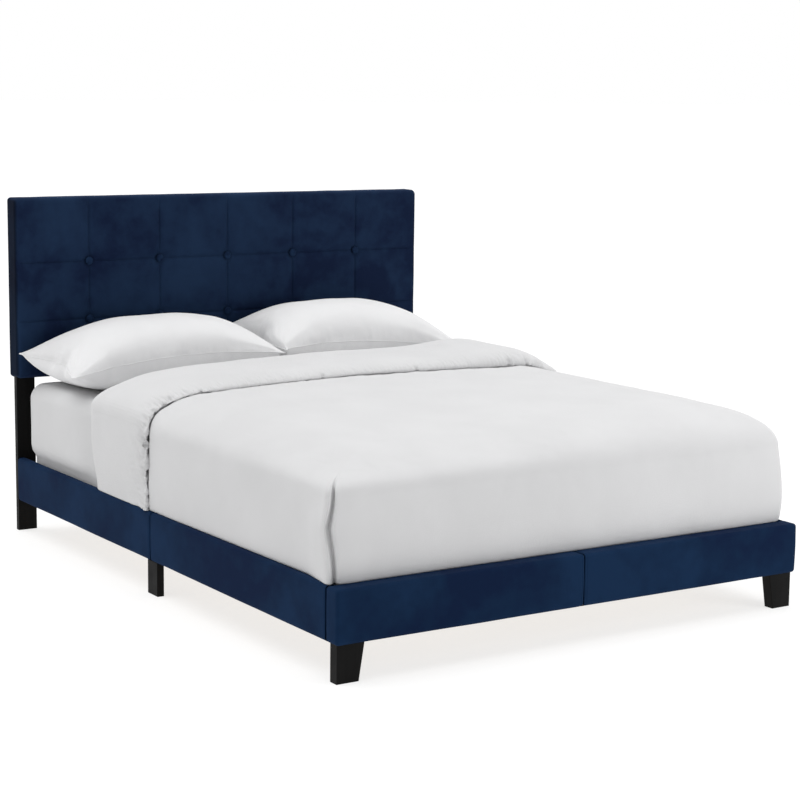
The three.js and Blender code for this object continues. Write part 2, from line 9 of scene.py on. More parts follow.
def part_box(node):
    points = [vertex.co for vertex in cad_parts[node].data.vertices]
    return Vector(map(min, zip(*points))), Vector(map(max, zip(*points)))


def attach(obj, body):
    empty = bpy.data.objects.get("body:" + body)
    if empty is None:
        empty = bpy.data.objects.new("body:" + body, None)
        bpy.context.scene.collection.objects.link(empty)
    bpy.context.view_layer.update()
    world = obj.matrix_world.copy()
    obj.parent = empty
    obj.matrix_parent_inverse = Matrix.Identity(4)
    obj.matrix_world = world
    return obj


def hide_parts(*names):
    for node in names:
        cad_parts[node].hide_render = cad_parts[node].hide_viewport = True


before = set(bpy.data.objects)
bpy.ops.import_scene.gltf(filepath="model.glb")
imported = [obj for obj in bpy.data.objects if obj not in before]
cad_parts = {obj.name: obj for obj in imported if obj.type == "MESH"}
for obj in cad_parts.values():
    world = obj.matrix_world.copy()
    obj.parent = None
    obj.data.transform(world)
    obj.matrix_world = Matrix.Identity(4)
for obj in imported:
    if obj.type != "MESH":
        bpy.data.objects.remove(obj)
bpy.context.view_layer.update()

SIDES = (("left", -1), ("right", 1))

# camera and light
CAMERA_TURN = (32.933, 8.887, 0.67)   # degrees to the right, down, and rolled
CAMERA_PLACE = (-3.379, -5.353, 1.5275)
CAMERA_LENS = 90.3                    # for a 36 mm sensor
SKY = 0.72
FRONT_SKY = 0.42                      # share of the sky's light that comes from past the foot end
HORIZON = (0.10, 0.20)                # heights between which the white horizon turns into sky
OVERHEAD = 2.15
OVERHEAD_SPREAD = 70                  # degrees
OVERHEAD_TRAVEL = (0.10, -0.20, -1.0)
FILL_POWER = 44
FILL_SIZE = 1.6
FILL_PLACE = (2.2, -3.6, 1.5)
FILL_TARGET = (0.75, -1.0, 0.4)
FLOOR_REACH = 150
FLOOR_GREY = 0.3
FLOOR_GLOW = 0.72

# sRGB colours
NAVY = ((11, 27, 54), (14, 34, 60), (18, 40, 68))
HEADBOARD_NAVY = ((16, 28, 53), (23, 39, 64), (27, 45, 71))
BUTTON_NAVY = ((14, 27, 50), (20, 36, 61), (25, 43, 69))
SHEEN_BLUE = (105, 145, 225)
DUVET_WHITE = (206, 206, 207)
# painted light: the pillows get a brighter white than the duvet's same cotton, for light they do not get
PILLOW_WHITE_PAINTED_LIGHT = (224, 224, 225)
LACQUER = ((5, 5, 5), (13, 12, 12))
TIMBER = ((176, 140, 92), (214, 182, 134))
PLYWOOD = ((164, 128, 84), (200, 166, 118))
FOAM = ((206, 196, 168), (236, 228, 204))
LINING = ((22, 22, 24), (38, 38, 41))
ZINC = ((150, 154, 158), (188, 190, 193))
TICKING = ((222, 221, 216), (236, 235, 231))

# headboard and rails
TUFT_COLUMNS = 6
BUTTON_COUNT = 10
GROOVE_STEPS = (-0.03, -0.021, -0.014, -0.009, -0.0055, -0.0028, 0,
                0.0028, 0.0055, 0.009, 0.014, 0.021, 0.03)
HEADBOARD_ROUNDING = 0.0175           # at the front; the back edge is tighter
FOAM_CORNER = 0.0127
FOAM_EDGE = 0.003
BUTTON_RADIUS = 0.0138
BUTTON_RISE = 0.0052
BAR_ROUNDING = 0.010
BAR_SEAM_STEPS = (0.0008, 0.0022, 0.004, 0.0058, 0.0072, 0.0085, 0.0098, 0.0115, 0.014, 0.018, 0.024, 0.032)
BAR_END_STEPS = (0.0008, 0.002, 0.004, 0.007, 0.012)

# mattress and fitted sheet
MATTRESS_ROUNDING = 0.052
SHEET_ROUNDING = 0.045
SHEET_BARE = (0.44, 0.60)             # from here to the head the sheet is not held down by the duvet

# duvet
SEAM_FROM_FOOT = 1.103
DUVET_TOP = 0.603
SHOULDER = 0.20
SHOULDER_DROP = 0.12
UNDERLAP = 0.075
THIN = 0.001                          # kept between the duvet's layers
DUVET_SEAM_STEPS = (-0.05, -0.035, -0.024, -0.016, -0.011, -0.0075, -0.005, -0.003, -0.0012,
                    0.0006, 0.0024, 0.0045, 0.007, 0.011)
DUVET_HEM_STEPS = (0.002, 0.005, 0.009, 0.015, 0.023)
CROWN = {"left": 0.016, "right": 0.003}
# the foot corners' pleats: where they start, their angle round the corner, and how the line
# wanders and the valley widens with height
PLEAT_TOP = 0.535
PLEAT_TURN = {"left": 43.8, "right": 24.0}
PLEAT_DEPTH = 0.024
PLEAT_LINE = ((0.30, 0.36, 0.405, 0.412, 0.46, 0.50, 0.55), (0.03, 0.01, -0.01, 0.0, 0.02, 0.02, 0.0))
PLEAT_WIDTH = ((0.30, 0.40, 0.46, 0.54), (0.032, 0.045, 0.026, 0.014))

# the turned-back layer of the duvet
TURNBACK_TOP = 0.640
TURNBACK_FLANK = 0.013
TURNBACK_COUNT = 840
# its rolled edge: distance back from the seam, and level over the layer under it, in metres
# plus a share of the crest's height
ROLLED_EDGE = ((0.017, -0.030, 0), (0.012, -0.014, 0), (0.008, -0.004, 0), (0.003, 0.0010, 0),
               (-0.0015, 0.0026, 0.02), (-0.0025, 0.004, 0.12), (0.003, 0.003, 0.32), (0.016, 0.002, 0.54),
               (0.038, 0.001, 0.76), (0.068, 0, 0.93), (0.10, 0, 1.0))
# where its edge runs: share of the half width, and distance from its mean line
SEAM_PATH = ((0, 0.024), (0.13, 0.023), (0.34, 0.010), (0.53, 0.0), (0.64, -0.012), (0.76, -0.022),
             (0.91, -0.021), (0.96, -0.018), (0.985, -0.028), (1, -0.038))
TUCKS = (-0.72, -0.6, -0.145, 0.21, 0.56, 0.63)

# pillows
PILLOW_CUT = (0.86, 0.58)             # the flat case before it is filled
PILLOW_HALF = (0.3925, 0.2275)
PILLOW_CREST = {"left": 0.108, "right": 0.119}
PILLOW_LIFT = {"left": 0.0, "right": 0.008}
PILLOW_SEAM = 0.0018
CLOTH = {"quality": 6, "mass": 0.15, "tension_stiffness": 22, "compression_stiffness": 22,
         "shear_stiffness": 8, "bending_stiffness": 0.35, "use_pressure": True,
         "uniform_pressure_force": 9, "air_damping": 3}
PILLOW_SOFT = 0.02


# ---- short-hand
def add(name, data):
    """A new object in the scene."""
    thing = bpy.data.objects.new(name, data)
    bpy.context.scene.collection.objects.link(thing)
    return thing


def put(node, **values):
    """Sets a node's inputs by name, with _ for a space."""
    for name, value in values.items():
        node.inputs[name.replace("_", " ")].default_value = value


# ---- camera, light and floor
def make_camera():
    yaw, pitch, roll = (math.radians(a) for a in CAMERA_TURN)
    ahead = Vector((math.sin(yaw) * math.cos(pitch), math.cos(yaw) * math.cos(pitch), -math.sin(pitch)))
    level = Vector((math.cos(yaw), -math.sin(yaw), 0.0))
    upward = level.cross(ahead)
    right = level * math.cos(roll) + upward * math.sin(roll)
    top = upward * math.cos(roll) - level * math.sin(roll)
    data = bpy.data.cameras.new("camera")
    data.lens = CAMERA_LENS
    data.clip_end = 200
    camera = add("camera", data)
    rows = [(right[k], top[k], -ahead[k], CAMERA_PLACE[k]) for k in range(3)]
    camera.matrix_world = Matrix(rows + [(0, 0, 0, 1)])
    bpy.context.scene.camera = camera


def map_range(tree, value, start, end, low):
    """Maps a value from start...end to low...1."""
    node = tree.nodes.new("ShaderNodeMapRange")
    put(node, From_Min=start, From_Max=end, To_Min=low)
    tree.links.new(value, node.inputs["Value"])
    return node


def make_sky():
    """An even sky over a white horizon, dimmer past the foot end."""
    world = bpy.data.worlds.new("studio")
    world.use_nodes = True
    tree = world.node_tree
    background = tree.nodes["Background"]
    coordinates = tree.nodes.new("ShaderNodeTexCoord")
    split = tree.nodes.new("ShaderNodeSeparateXYZ")
    ramp = tree.nodes.new("ShaderNodeValToRGB")
    tree.links.new(coordinates.outputs["Generated"], split.inputs["Vector"])
    tree.links.new(split.outputs["Z"], ramp.inputs["Fac"])
    tree.links.new(ramp.outputs["Color"], background.inputs["Color"])
    for element, place, level in zip(ramp.color_ramp.elements, HORIZON, (1, SKY)):
        element.position = place
        element.color = (level, level, level, 1)
    front = map_range(tree, split.outputs["Y"], -0.9, 0.1, FRONT_SKY)
    # the horizon itself stays even all round
    aloft = map_range(tree, split.outputs["Z"], 0.10, 0.22, 1.0)
    tree.links.new(front.outputs["Result"], aloft.inputs["To Max"])
    tree.links.new(aloft.outputs["Result"], background.inputs["Strength"])
    bpy.context.scene.world = world
    bpy.context.scene.view_settings.view_transform = "Standard"


def shine(data, place, travel):
    """Puts a light at a place, shining along travel."""
    lamp = add(data.name, data)
    lamp.location = place
    lamp.rotation_euler = travel.to_track_quat("-Z", "Y").to_euler()


def make_lights():
    """One very soft light from above, and a fill at the right of the foot end."""
    overhead = bpy.data.lights.new("overhead", "SUN")
    overhead.energy = OVERHEAD
    overhead.angle = math.radians(OVERHEAD_SPREAD)
    shine(overhead, (0, 0, 0), Vector(OVERHEAD_TRAVEL))
    fill = bpy.data.lights.new("foot_fill", "AREA")
    fill.size = FILL_SIZE
    fill.energy = FILL_POWER
    shine(fill, FILL_PLACE, Vector(FILL_TARGET) - Vector(FILL_PLACE))


def make_floor():
    """A white paper floor that glows a little, so only a faint shade is left under the bed."""
    mesh = bpy.data.meshes.new("floor")
    corners = [(x * FLOOR_REACH, y * FLOOR_REACH, 0) for x, y in ((-1, -1), (1, -1), (1, 1), (-1, 1))]
    mesh.from_pydata(corners, [], [(0, 1, 2, 3)])
    floor = add("floor", mesh)
    paper, shader = new_material("floor_paper", 0.95)
    put(shader, Base_Color=(FLOOR_GREY, FLOOR_GREY, FLOOR_GREY, 1), Specular_IOR_Level=0.0,
        Emission_Color=(1, 1, 1, 1), Emission_Strength=FLOOR_GLOW)
    mesh.materials.append(paper)


# ---- material helpers
def new_material(name, roughness):
    material = bpy.data.materials.new(name)
    material.use_nodes = True
    shader = material.node_tree.nodes["Principled BSDF"]
    put(shader, Roughness=roughness)
    return material, shader


class Nodes:
    """Short-hand for building a node tree on one material."""

    def __init__(self, material):
        self.tree = material.node_tree
        self.normal = self.tree.nodes.new("ShaderNodeNewGeometry").outputs["Normal"]

    def new(self, kind, vector=None, **values):
        node = self.tree.nodes.new("ShaderNode" + kind)
        put(node, **values)
        if vector:
            self.link(vector, node.inputs["Vector"])
        return node

    def link(self, source, target):
        self.tree.links.new(source, target)

    def noise(self, scale, detail=2.0, rough=0.5, vector=None, distortion=0.0):
        return self.new("TexNoise", vector or self.object_space(), Scale=scale, Detail=detail,
                        Roughness=rough, Distortion=distortion).outputs["Fac"]

    def object_space(self):
        if not hasattr(self, "_object"):
            self._object = self.tree.nodes.new("ShaderNodeTexCoord").outputs["Object"]
        return self._object

    def stretched(self, scale):
        return self.new("Mapping", self.object_space(), Scale=scale).outputs["Vector"]

    def wave(self, scale, direction, vector=None):
        node = self.new("TexWave", vector or self.object_space(), Scale=scale)
        node.bands_direction = direction
        return node.outputs["Fac"]

    def ramp(self, value, stops):
        node = self.tree.nodes.new("ShaderNodeValToRGB")
        ramp = node.color_ramp
        while len(ramp.elements) < len(stops):
            ramp.elements.new(0.5)
        for element, (place, color) in zip(ramp.elements, stops):
            element.position = place
            element.color = (*color, 1)
        self.link(value, node.inputs["Fac"])
        return node.outputs["Color"]

    def tint(self, value, places, colours, socket):
        """Colours a socket by a value, with an sRGB colour at each place."""
        self.link(self.ramp(value, tuple(zip(places, map(linear, colours)))), socket)

    def math(self, operation, a, b):
        node = self.tree.nodes.new("ShaderNodeMath")
        node.operation = operation
        for socket, value in zip(node.inputs, (a, b)):
            if isinstance(value, (int, float)):
                socket.default_value = value
            else:
                self.link(value, socket)
        return node.outputs["Value"]

    def bump(self, shader, height, strength, distance):
        node = self.new("Bump", Strength=strength, Distance=distance)
        self.link(height, node.inputs["Height"])
        self.link(node.outputs["Normal"], shader.inputs["Normal"])


def linear(colour):
    """sRGB 0-255 to the linear values that shaders take."""
    out = []
    for channel in colour:
        c = channel / 255
        out.append(c / 12.92 if c <= 0.04045 else ((c + 0.055) / 1.055) ** 2.4)
    return tuple(out)


def velvet_material(name, colours, patch_scale=3.2, painted_side_shade=1.0):
    """Short pile velvet: soft patches where the pile lies differently, and an edge sheen.

    The side shade argument scales the colour of the faces that look along X: painted shade that darkens the
    sides where less light falls."""
    material, shader = new_material(name, 0.82)
    n = Nodes(material)
    patches = n.noise(patch_scale, 3.0, 0.55, distortion=0.4)
    pile = n.noise(26.0, 4.0, 0.6)
    mixed = n.math("ADD", n.math("MULTIPLY", patches, 0.78), n.math("MULTIPLY", pile, 0.22))
    dark, mid, light = map(linear, colours)
    colour = n.ramp(mixed, ((0.40, dark), (0.5, mid), (0.62, light)))
    # painted shade: the colour of faces that look along X is darkened
    if painted_side_shade < 1:
        facing = n.new("SeparateXYZ", n.normal)
        sideways = n.math("ABSOLUTE", facing.outputs["X"], 0.0)
        shade = n.ramp(sideways, ((0.6, (1, 1, 1)), (0.95, (painted_side_shade,) * 3)))
        scaled = n.new("MixRGB", Fac=1.0)
        scaled.blend_type = "MULTIPLY"
        n.link(colour, scaled.inputs["Color1"])
        n.link(shade, scaled.inputs["Color2"])
        colour = scaled.outputs["Color"]
    n.link(colour, shader.inputs["Base Color"])
    put(shader, Specular_IOR_Level=0.05, Sheen_Weight=0.055, Sheen_Roughness=0.35,
        Sheen_Tint=(*linear(SHEEN_BLUE), 1))
    fibres = n.noise(1500.0, 2.0, 0.6)
    tufts = n.noise(260.0, 3.0, 0.55)
    height = n.math("ADD", n.math("MULTIPLY", fibres, 0.5), tufts)
    n.bump(shader, height, 0.28, 0.0012)
    return material


def cotton_material(name, colour):
    """White percale: a fine plain weave with faint crumples and tone changes."""
    material, shader = new_material(name, 0.86)
    n = Nodes(material)
    tone = n.noise(5.0, 3.0, 0.5)
    shade = linear(colour)
    low = tuple(c * 0.965 for c in shade)
    n.link(n.ramp(tone, ((0.35, low), (0.65, shade))), shader.inputs["Base Color"])
    put(shader, Specular_IOR_Level=0.2, Sheen_Weight=0.12, Sheen_Roughness=0.5)
    warp, weft, rise = (n.wave(620.0, axis) for axis in "XYZ")
    weave = n.math("MULTIPLY", n.math("ADD", n.math("ADD", warp, weft), rise), 0.05)
    creases = n.math("MULTIPLY", n.noise(14.0, 4.0, 0.62, distortion=0.6), 0.5)
    n.bump(shader, n.math("ADD", weave, creases), 0.32, 0.006)
    return material


def lacquer_material():
    """Black satin lacquer over open-grained wood."""
    material, shader = new_material("black_lacquer", 0.5)
    put(shader, Specular_IOR_Level=0.1)
    n = Nodes(material)
    grain = n.noise(60.0, 5.0, 0.65, vector=n.stretched((1.0, 1.0, 0.07)))
    n.tint(grain, (0.3, 0.7), LACQUER, shader.inputs["Base Color"])
    rough = n.ramp(n.noise(18.0, 3.0), ((0.3, (0.46,) * 3), (0.7, (0.6,) * 3)))
    n.link(rough, shader.inputs["Roughness"])
    n.bump(shader, grain, 0.18, 0.0015)
    return material


def wood_material(name, colours, along):
    """Bare timber whose grain runs along one axis: 0 is X, 1 is Y, 2 is Z."""
    material, shader = new_material(name, 0.68)
    n = Nodes(material)
    stretch = [9.0, 9.0, 9.0]
    stretch[along] = 0.45
    vector = n.stretched(stretch)
    rings = n.noise(2.2, 4.0, 0.6, vector=vector, distortion=1.4)
    fine = n.noise(16.0, 5.0, 0.7, vector=vector)
    mixed = n.math("ADD", n.math("MULTIPLY", rings, 0.7), n.math("MULTIPLY", fine, 0.3))
    dark, light = map(linear, colours)
    late = tuple(c * 0.86 for c in light)
    n.link(n.ramp(mixed, ((0.32, dark), (0.5, light), (0.7, late))), shader.inputs["Base Color"])
    n.bump(shader, fine, 0.22, 0.001)
    return material


def foam_material():
    """Cream upholstery foam with open cells."""
    material, shader = new_material("foam", 0.95)
    n = Nodes(material)
    cells = n.noise(420.0, 3.0, 0.7)
    n.tint(cells, (0.3, 0.7), FOAM, shader.inputs["Base Color"])
    n.bump(shader, cells, 0.5, 0.0015)
    return material


def lining_material():
    """Black non-woven backing cloth with its dimpled bonding pattern."""
    material, shader = new_material("backing_cloth", 0.92)
    n = Nodes(material)
    dots = n.math("MULTIPLY", n.wave(150.0, "X"), n.wave(150.0, "Z"))
    fluff = n.noise(340.0, 3.0, 0.6)
    n.tint(fluff, (0.3, 0.7), LINING, shader.inputs["Base Color"])
    n.bump(shader, n.math("ADD", dots, fluff), 0.4, 0.0008)
    return material


def steel_material():
    """Zinc-plated steel with its faint spangle."""
    material, shader = new_material("zinc_plate", 0.38)
    put(shader, Metallic=1.0)
    n = Nodes(material)
    spangle = n.noise(55.0, 2.0, 0.4, distortion=1.2)
    n.tint(spangle, (0.35, 0.65), ZINC, shader.inputs["Base Color"])
    n.link(n.ramp(spangle, ((0.3, (0.3,) * 3), (0.7, (0.46,) * 3))), shader.inputs["Roughness"])
    n.bump(shader, n.noise(700.0, 2.0), 0.08, 0.0005)
    return material


def ticking_material():
    """Knitted mattress ticking with a quilted diamond swell."""
    material, shader = new_material("ticking", 0.88)
    n = Nodes(material)
    turned = n.new("Mapping", n.object_space(), Rotation=(0, 0, math.radians(45)))
    one, two = (n.wave(4.2, axis, turned.outputs["Vector"]) for axis in "XY")
    quilt = n.math("MULTIPLY", one, two)
    knit = n.math("MULTIPLY", n.wave(420.0, "X"), 0.05)
    n.tint(n.noise(90.0), (0.35, 0.65), TICKING, shader.inputs["Base Color"])
    n.bump(shader, n.math("ADD", quilt, knit), 0.5, 0.006)
    return material


# ---- mesh helpers
def new_piece(name, points, faces, material, slot, body, replaced):
    mesh = bpy.data.meshes.new(name)
    mesh.from_pydata([tuple(p) for p in points], [], faces)
    mesh.validate()
    mesh.polygons.foreach_set("use_smooth", [True] * len(mesh.polygons))
    mesh.materials.append(material)
    piece = add(name, mesh)
    if replaced:
        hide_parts(*replaced)
    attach(piece, body)
    return piece


def lines(low, high, radius, step, extra=(), turns=4):
    """Grid lines from low to high: dense in the rounded ends, even between, plus extras.

    radius is one number, or the pair of radii at the low and the high end."""
    first, last = radius if isinstance(radius, tuple) else (radius, radius)
    count = max(1, round((high - last - low - first) / step))
    values = list(np.linspace(low + first, high - last, count + 1))
    for k in range(turns):
        part = 1 - math.tan(math.radians(45 * k / turns))
        values += [low + first * part, high - last * part]
    values += [low, high]
    gap = 0.4 * step
    values = [v for v in values if v in (low, high) or all(abs(v - e) > min(gap, 0.002) for e in extra)]
    values = sorted(values + [e for e in extra if low < e < high])
    kept = [values[0]]
    for v in values[1:]:
        if v - kept[-1] > 2e-4:
            kept.append(v)
    kept[-1] = high
    return np.array(kept)


def box_grid(xs, ys, zs, skip=()):
    """Points on the surface of a box, one for each grid crossing, and the quads between.

    skip names sides to leave open, such as "z-"."""
    counts = (len(xs), len(ys), len(zs))
    index, points, faces = {}, [], []

    def point(i, j, k):
        if (i, j, k) not in index:
            index[i, j, k] = len(points)
            points.append((xs[i], ys[j], zs[k]))
        return index[i, j, k]

    for axis, letter in enumerate("xyz"):
        u, v = (axis + 1) % 3, (axis + 2) % 3
        for end, sign in ((0, "-"), (counts[axis] - 1, "+")):
            if letter + sign in skip:
                continue
            for a in range(counts[u] - 1):
                for b in range(counts[v] - 1):
                    corner = []
                    for da, db in ((0, 0), (1, 0), (1, 1), (0, 1)):
                        place = [0, 0, 0]
                        place[axis], place[u], place[v] = end, a + da, b + db
                        corner.append(point(*place))
                    faces.append(corner if sign == "+" else corner[::-1])
    return np.array(points), faces


def round_off(points, low, high, radius):
    """Moves box-surface points onto the rounded box; returns them with outward normals."""
    low, high = np.array(low), np.array(high)
    radius = np.asarray(radius, float)
    if radius.ndim == 0:
        radius = np.full(len(points), float(radius))
    inner = np.minimum(np.maximum(points, low + radius[:, None]), high - radius[:, None])
    away = points - inner
    length = np.linalg.norm(away, axis=1, keepdims=True)
    normal = away / np.maximum(length, 1e-9)
    return inner + normal * radius[:, None], normal


def puff(points, low, high, radii_low, radii_high, corner):
    """Rounds box-surface points with a different radius on each axis and at each end.

    corner is the power that joins X and Y: 2 is round in plan, a high power keeps the corner.
    Returns the new points, outward directions, and the three parts (-1 to 1) they turn through."""
    low, high = np.array(low, float), np.array(high, float)
    first = low + np.array(radii_low)
    last = high - np.array(radii_high)
    below = np.minimum(points - first, 0) / np.array(radii_low)
    above = np.maximum(points - last, 0) / np.array(radii_high)
    part = below + above
    plan = (np.abs(part[:, 0]) ** corner + np.abs(part[:, 1]) ** corner) ** (1 / corner)
    norm = np.sqrt(plan ** 2 + part[:, 2] ** 2)[:, None]
    part = part / np.maximum(norm, 1e-9)
    radii = np.where(part < 0, np.array(radii_low), np.array(radii_high))
    inner = np.minimum(np.maximum(points, first), last)
    away = part / radii
    direction = away / np.maximum(np.linalg.norm(away, axis=1, keepdims=True), 1e-9)
    return inner + part * radii, direction, part


def shell(outer, inner, faces):
    """Joins an outer and an inner skin of the same open grid into one closed mesh."""
    count = len(outer)
    joined = list(faces) + [[i + count for i in reversed(face)] for face in faces]
    directed = {(face[k], face[(k + 1) % 4]) for face in faces for k in range(4)}
    for i, j in directed:
        if (j, i) not in directed:
            joined.append([j, i, i + count, j + count])
    return np.concatenate([outer, inner]), joined


def noise_at(points, scale, seed=0.0):
    """Smooth noise, about -1 to 1, at each point."""
    shift = Vector((seed * 7.31, seed * 3.17, seed * 5.53))
    return np.array([noise.noise(Vector(p) * scale + shift) for p in points])


def bell(distance, width):
    return np.exp(-(distance / width) ** 2)


def smooth(value, low, high):
    t = np.clip((value - low) / (high - low), 0, 1)
    return t * t * (3 - 2 * t)


# ---- headboard
def tuft_places(low, high):
    """Where the vertical seams and the rows of buttons are."""
    pitch = (high.x - low.x) / TUFT_COLUMNS
    columns = [(c - TUFT_COLUMNS / 2) * pitch for c in range(1, TUFT_COLUMNS)]
    boxes = [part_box(f"tuft_button_{number}") for number in range(1, BUTTON_COUNT + 1)]
    return columns, sorted({round((base.z + roof.z) / 2, 4) for base, roof in boxes})


def make_headboard(velvet, button_velvet):
    """The padded cover: a grid of stitched grooves, sunk furthest under the buttons."""
    low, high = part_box("headboard_cover")
    columns, rows = tuft_places(low, high)
    xs = lines(low.x, high.x, 0.02, 0.011, [c + o for c in columns for o in GROOVE_STEPS], 6)
    zs = lines(low.z, high.z, 0.02, 0.011, [r + o for r in rows for o in GROOVE_STEPS], 6)
    ys = lines(low.y, high.y, 0.02, 0.012, turns=6)
    points, faces = box_grid(xs, ys, zs)
    depth = (points[:, 1] - low.y) / (high.y - low.y)
    radii = HEADBOARD_ROUNDING - 0.005 * smooth(depth, 0.45, 0.8)
    shaped, normal = round_off(points, low, high, radii)
    facing = smooth(-normal[:, 1], 0.3, 0.9)
    x, y, z = points.T
    to_column = np.min([np.abs(x - c) for c in columns], axis=0)
    to_row = np.min([np.abs(z - r) for r in rows], axis=0)
    to_seam = np.minimum(to_column, to_row)
    near_edge = np.minimum(np.minimum(x - low.x, high.x - x), np.minimum(z - low.z, high.z - z))
    taper = 0.35 + 0.65 * smooth(near_edge, 0.0, 0.06)
    sunk = (0.0040 * bell(to_seam, 0.0026) + 0.0030 * np.exp(-to_seam / 0.016)) * taper
    for column in columns:
        for row in rows:
            dx, dz = x - column, z - row
            away = np.hypot(dx, dz)
            turn = np.arctan2(dz, dx)
            folds = 1 + 0.22 * np.cos(8 * turn + column * 9) * smooth(away, 0.01, 0.025)
            dent = 0.0112 * np.exp(-(away / 0.0205) ** 2.2) * folds + 0.0018 * np.exp(-away / 0.05)
            sunk = np.maximum(sunk, dent)
    swell = 0.0022 * (1 - np.exp(-to_seam / 0.05))
    soft = 0.0008 * noise_at(points, 9.0, 1.0)
    shaped[:, 1] += facing * (sunk - swell + soft + 0.001)
    sides = 1 - np.abs(normal[:, 1])
    shaped += normal * (sides * 0.0007 * noise_at(points, 14.0, 2.0))[:, None]
    # the open back is let in as far as the lined board
    rim = 0.0045
    recess = (y >= high.y - 1e-6) & (np.abs(x) < high.x - rim) & (z > low.z + rim) & (z < high.z - rim)
    shaped[recess, 1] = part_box("headboard_back")[0].y - 0.0006
    cover = new_piece("headboard_upholstery", shaped, faces, velvet, "velvet", "frame", ["headboard_cover"])
    make_foam()
    for number in range(1, BUTTON_COUNT + 1):
        make_button(number, button_velvet)


def make_foam():
    """The foam pad under the headboard's cover, with its front edges eased."""
    low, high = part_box("headboard_foam")
    radii = (FOAM_CORNER, FOAM_EDGE, FOAM_CORNER)
    grid, faces = box_grid(*(lines(low[a], high[a], radii[a], 0.03) for a in range(3)))
    shaped, out, _ = puff(grid, low, high, radii, radii, 2)
    shaped -= out * (0.0004 + 0.0003 * noise_at(grid, 20.0, 21.0))[:, None]
    piece = new_piece("headboard_pad", shaped, faces, foam_material(), "foam", "frame", ["headboard_foam"])


def make_button(number, material):
    """A cloth-covered button: domed face, pulled-in rim with tiny gathers."""
    node = f"tuft_button_{number}"
    low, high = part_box(node)
    cx, cz, front = (low.x + high.x) / 2, (low.z + high.z) / 2, low.y
    rings, turns, proud = 14, 40, 0.0006
    points, faces = [(cx, front - proud, cz)], []
    for ring in range(1, rings + 1):
        t = ring / rings
        angle = t * math.pi * 0.72
        radius = BUTTON_RADIUS * math.sin(angle)
        along = front - proud + BUTTON_RISE * (1 - math.cos(angle))
        for turn in range(turns):
            a = 2 * math.pi * turn / turns
            gather = 1 + 0.018 * math.cos(10 * a + number) * max(0.0, t - 0.45)
            points.append((cx + radius * gather * math.cos(a), along, cz + radius * gather * math.sin(a)))
    for turn in range(turns):
        after = (turn + 1) % turns
        faces.append((0, 1 + turn, 1 + after))
        for ring in range(rings - 1):
            a, b = 1 + ring * turns, 1 + (ring + 1) * turns
            faces.append((a + turn, b + turn, b + after, a + after))
    last = 1 + (rings - 1) * turns
    faces.append([last + t for t in reversed(range(turns))])
    new_piece(f"button_{number}", points, faces, material, "button_velvet", "frame", [node])


# ---- padded rails
def make_padded_bar(name, node, velvet, seam_side, along_axis, square_far):
    """A velvet-wrapped bar. seam_side is the end (-1 or 1) that is sewn to its neighbour.

    The far end is square where square_far is set, and otherwise rounded like the edges."""
    low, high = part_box(node)
    ends = (high[along_axis], low[along_axis])
    near, far = ends if seam_side > 0 else ends[::-1]
    extra = [near - seam_side * d for d in BAR_SEAM_STEPS]
    if square_far:
        extra += [far + seam_side * d for d in BAR_END_STEPS]
    axes = [lines(low[a], high[a], BAR_ROUNDING, 0.010, turns=5) for a in range(3)]
    axes[along_axis] = lines(low[along_axis], high[along_axis], BAR_ROUNDING, 0.012, extra, 5)
    grid, faces = box_grid(*axes)
    base, roof = np.array(low), np.array(high)
    base[along_axis] -= BAR_ROUNDING if (seam_side < 0 or square_far) else 0
    roof[along_axis] += BAR_ROUNDING if (seam_side > 0 or square_far) else 0
    shaped, normal = round_off(grid, base, roof, BAR_ROUNDING)
    to_seam = np.abs(near - grid[:, along_axis])
    to_far = np.abs(far - grid[:, along_axis])
    end_cap = (to_seam < 1e-6) | (square_far & (to_far < 1e-6))
    shaped[end_cap, along_axis] = grid[end_cap, along_axis]
    # only the skin moves: not the flat middle of an end
    rim = np.zeros(len(grid), bool)
    for axis in {0, 1, 2} - {along_axis}:
        rim |= (grid[:, axis] <= low[axis] + 1e-6) | (grid[:, axis] >= high[axis] - 1e-6)
    pull = 0.0030 * bell(to_seam, 0.0022)
    stitch = 0.0011 * bell(to_seam - 0.0085, 0.0011)
    gather = 0.0005 * noise_at(grid, 60.0, 17.0) * np.exp(-to_seam / 0.025)
    turned = 0.0022 * bell(to_far, 0.0025) * square_far
    swell = 0.0007 * noise_at(grid * np.array([1.0, 1.0, 1.6]), 7.0, 3.0)
    crown = 0.0012 * np.sin(np.pi * (grid[:, 2] - low.z) / (high.z - low.z))
    crown *= np.abs(normal[:, 2]) < 0.5
    shaped += normal * (rim * (swell + crown - pull - stitch - gather - turned))[:, None]
    new_piece(name, shaped, faces, velvet, "velvet", "frame", [node])


# ---- bedding
def make_mattress(ticking):
    """The mattress, with a welt round its top and bottom edges."""
    low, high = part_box("mattress")
    points, faces = box_grid(*(lines(low[a], high[a], MATTRESS_ROUNDING, 0.03, turns=6) for a in range(3)))
    shaped, normal = round_off(points, low, high, MATTRESS_ROUNDING)
    height = (points[:, 2] - low.z) / (high.z - low.z)
    side = 1 - np.abs(normal[:, 2])
    welt = 0.004 * (bell(height - 0.06, 0.02) + bell(height - 0.94, 0.02))
    shaped += normal * (side * welt - 0.007 + 0.001 * noise_at(points, 6.0, 4.0))[:, None]
    piece = new_piece("mattress_body", shaped, faces, ticking, "ticking", "mattress", ["mattress"])


